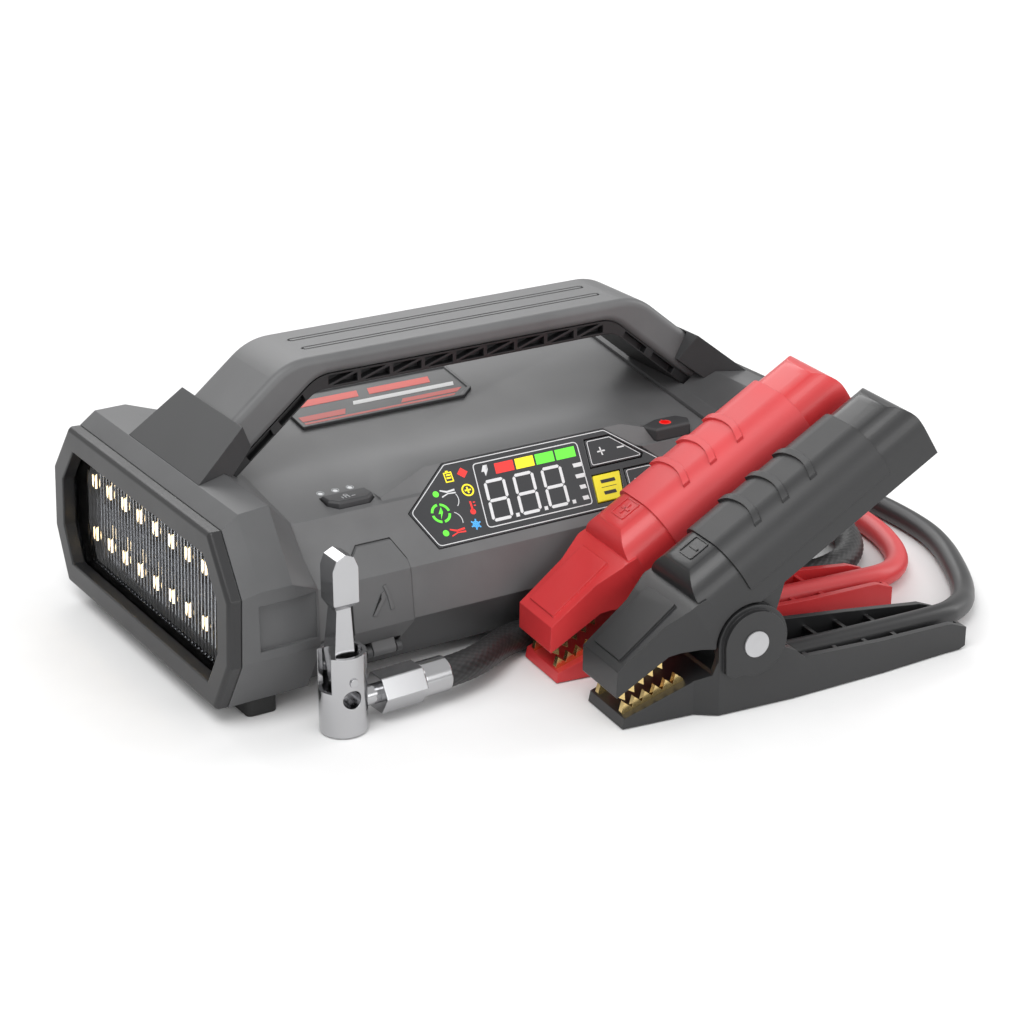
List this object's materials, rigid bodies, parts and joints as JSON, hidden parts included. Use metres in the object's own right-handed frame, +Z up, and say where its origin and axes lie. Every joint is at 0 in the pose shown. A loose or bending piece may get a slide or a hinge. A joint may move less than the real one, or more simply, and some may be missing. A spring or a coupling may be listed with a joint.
{
  "type": "jump starter pack",
  "caption": "Portable battery pack with carrying handle, work lamp, sloped display, tyre hose with lever chuck, and spring clamps on cables.",
  "frame": {"origin": "middle of the base pad, on the ground", "axes": "+X along the pack from the lamp end to the pump end, -Y the side of the display, +Z up"},
  "size_m": [0.3056, 0.2513, 0.1025],
  "materials": {
    "case_screws": "plain steel",
    "lower_case": "fine matt moulding",
    "upper_case": "fine matt moulding",
    "lamp_housing": "fine matt moulding",
    "pump_housing": "fine matt moulding",
    "lamp_bezel": "fine matt moulding",
    "vent_bezel": "fine matt moulding",
    "lamp_lens": "clear with upright ribs inside",
    "lamp_reflector": "smooth gloss",
    "lamp_board": "fine matt moulding",
    "lamp_leds": "smooth gloss",
    "vent_panel": "fine matt moulding",
    "handle_shell": "fine matt moulding",
    "handle_underside": "fine matt moulding",
    "lamp_end_shroud": "fine matt moulding",
    "pump_end_shroud": "fine matt moulding",
    "rubber_feet": "matt rubber",
    "display_panel": "smooth gloss",
    "display_board": "fine matt moulding",
    "plus_minus_key": "fine matt moulding",
    "unit_key": "fine matt moulding",
    "pump_key": "fine matt moulding",
    "power_button": "fine matt moulding",
    "light_button": "fine matt moulding",
    "label_plate": "fine matt moulding",
    "port_door": "matt rubber",
    "door_pin": "plain steel",
    "jump_socket": "smooth gloss",
    "battery_cells": "fine matt moulding",
    "battery_tray": "fine matt moulding",
    "main_board": "fine matt moulding",
    "pump_motor": "plain steel",
    "pump_frame": "as cast",
    "pump_pinion": "stamped",
    "crank_gear": "fine matt moulding",
    "pump_piston": "as cast",
    "hose_elbow": "fine matt moulding",
    "air_hose": "matt rubber",
    "hose_ferrule": "polished",
    "hose_nut": "polished",
    "chuck_barrel": "polished",
    "chuck_seal": "matt rubber",
    "chuck_lever": "polished",
    "lever_pin": "plain steel",
    "black_clamp_lower": "fine matt moulding",
    "black_clamp_upper": "fine matt moulding",
    "black_clamp_grip": "matt rubber",
    "red_clamp_lower": "fine matt moulding",
    "red_clamp_upper": "fine matt moulding",
    "red_clamp_grip": "matt rubber",
    "black_upper_teeth": "stamped",
    "red_upper_teeth": "stamped",
    "lower_teeth": "stamped",
    "clamp_rivets": "plain steel",
    "clamp_springs": "plain steel",
    "black_cable": "matt rubber",
    "red_cable": "matt rubber",
    "jump_plug": "smooth gloss"
  },
  "bodies": {
    "pack": {"case_screws": "case_screws", "lower_case": "lower_case", "upper_case": "upper_case", "lamp_housing": "lamp_housing", "pump_housing": "pump_housing", "lamp_bezel": "lamp_bezel", "vent_bezel": "vent_bezel", "lamp_lens": "lamp_lens", "lamp_reflector": "lamp_reflector", "lamp_board": "lamp_board", "lamp_leds": "lamp_leds", "vent_panel": "vent_panel", "handle_shell": "handle_shell", "handle_underside": "handle_underside", "lamp_end_shroud": "lamp_end_shroud", "pump_end_shroud": "pump_end_shroud", "rubber_feet": "rubber_feet", "display_panel": "display_panel", "display_board": "display_board", "label_plate": "label_plate", "door_pin": "door_pin", "jump_socket": "jump_socket", "battery_cells": "battery_cells", "battery_tray": "battery_tray", "main_board": "main_board", "pump_motor": "pump_motor", "pump_frame": "pump_frame", "hose_elbow": "hose_elbow", "air_hose": "air_hose", "hose_ferrule": "hose_ferrule", "hose_nut": "hose_nut", "chuck_barrel": "chuck_barrel", "chuck_seal": "chuck_seal", "lever_pin": "lever_pin", "black_clamp_lower": "black_clamp_lower", "red_clamp_lower": "red_clamp_lower", "lower_teeth": "lower_teeth", "clamp_rivets": "clamp_rivets", "clamp_springs": "clamp_springs", "black_cable": "black_cable", "red_cable": "red_cable", "jump_plug": "jump_plug"},
    "rocker": {"plus_minus_key": "plus_minus_key"},
    "unit_switch": {"unit_key": "unit_key"},
    "pump_switch": {"pump_key": "pump_key"},
    "power_switch": {"power_button": "power_button"},
    "light_switch": {"light_button": "light_button"},
    "door": {"port_door": "port_door"},
    "lever": {"chuck_lever": "chuck_lever"},
    "black_jaw": {"black_clamp_upper": "black_clamp_upper", "black_clamp_grip": "black_clamp_grip", "black_upper_teeth": "black_upper_teeth"},
    "red_jaw": {"red_clamp_upper": "red_clamp_upper", "red_clamp_grip": "red_clamp_grip", "red_upper_teeth": "red_upper_teeth"},
    "pinion": {"pump_pinion": "pump_pinion"},
    "crank": {"crank_gear": "crank_gear"},
    "piston": {"pump_piston": "pump_piston"}
  },
  "joints": [
    {"name": "plus_minus_press", "type": "slide", "parent": "pack", "child": "rocker", "axis": [0, 0.7121, -0.7021], "range_m": [0, 0.0005], "stiffness_N_per_m": 600},
    {"name": "unit_key_press", "type": "slide", "parent": "pack", "child": "unit_switch", "axis": [0, 0.7121, -0.7021], "range_m": [0, 0.0005], "stiffness_N_per_m": 600},
    {"name": "pump_key_press", "type": "slide", "parent": "pack", "child": "pump_switch", "axis": [0, 0.7121, -0.7021], "range_m": [0, 0.0005], "stiffness_N_per_m": 600},
    {"name": "power_press", "type": "slide", "parent": "pack", "child": "power_switch", "axis": [0, 0, -1], "range_m": [0, 0.001], "stiffness_N_per_m": 600},
    {"name": "light_press", "type": "slide", "parent": "pack", "child": "light_switch", "axis": [0, 0, -1], "range_m": [0, 0.001], "stiffness_N_per_m": 600},
    {"name": "door_hinge", "type": "hinge", "parent": "pack", "child": "door", "pos_m": [-0.0613, -0.0596, 0.0116], "axis": [1, 0, 0], "range_deg": [0, 70]},
    {"name": "lever_pivot", "type": "hinge", "parent": "pack", "child": "lever", "pos_m": [-0.09, -0.085, 0.02], "axis": [0, -1, 0], "range_deg": [0, 80]},
    {"name": "black_jaw_pivot", "type": "hinge", "parent": "pack", "child": "black_jaw", "pos_m": [0.03281, -0.1258, 0.0245], "axis": [0.0924, 0.9957, 0], "range_deg": [0, 30], "stiffness_Nm_per_rad": 1.2, "springref_deg": -20.05},
    {"name": "red_jaw_pivot", "type": "hinge", "parent": "pack", "child": "red_jaw", "pos_m": [0.03311, -0.0858, 0.0245], "axis": [0.0924, 0.9957, 0], "range_deg": [0, 30], "stiffness_Nm_per_rad": 1.2, "springref_deg": -20.05},
    {"name": "pinion_spin", "type": "hinge", "parent": "pack", "child": "pinion", "pos_m": [0.0795, -0.016, 0.031], "axis": [1, 0, 0], "continuous": true},
    {"name": "crank_spin", "type": "hinge", "parent": "pack", "child": "crank", "pos_m": [0.0795, 0.008, 0.031], "axis": [1, 0, 0], "continuous": true},
    {"name": "piston_stroke", "type": "slide", "parent": "pack", "child": "piston", "axis": [0, 0, 1], "range_m": [-0.0015, 0.0045]}
  ],
  "couplings": [
    {"joint": "crank_spin", "follows": "pinion_spin", "ratio": -0.33333}
  ]
}
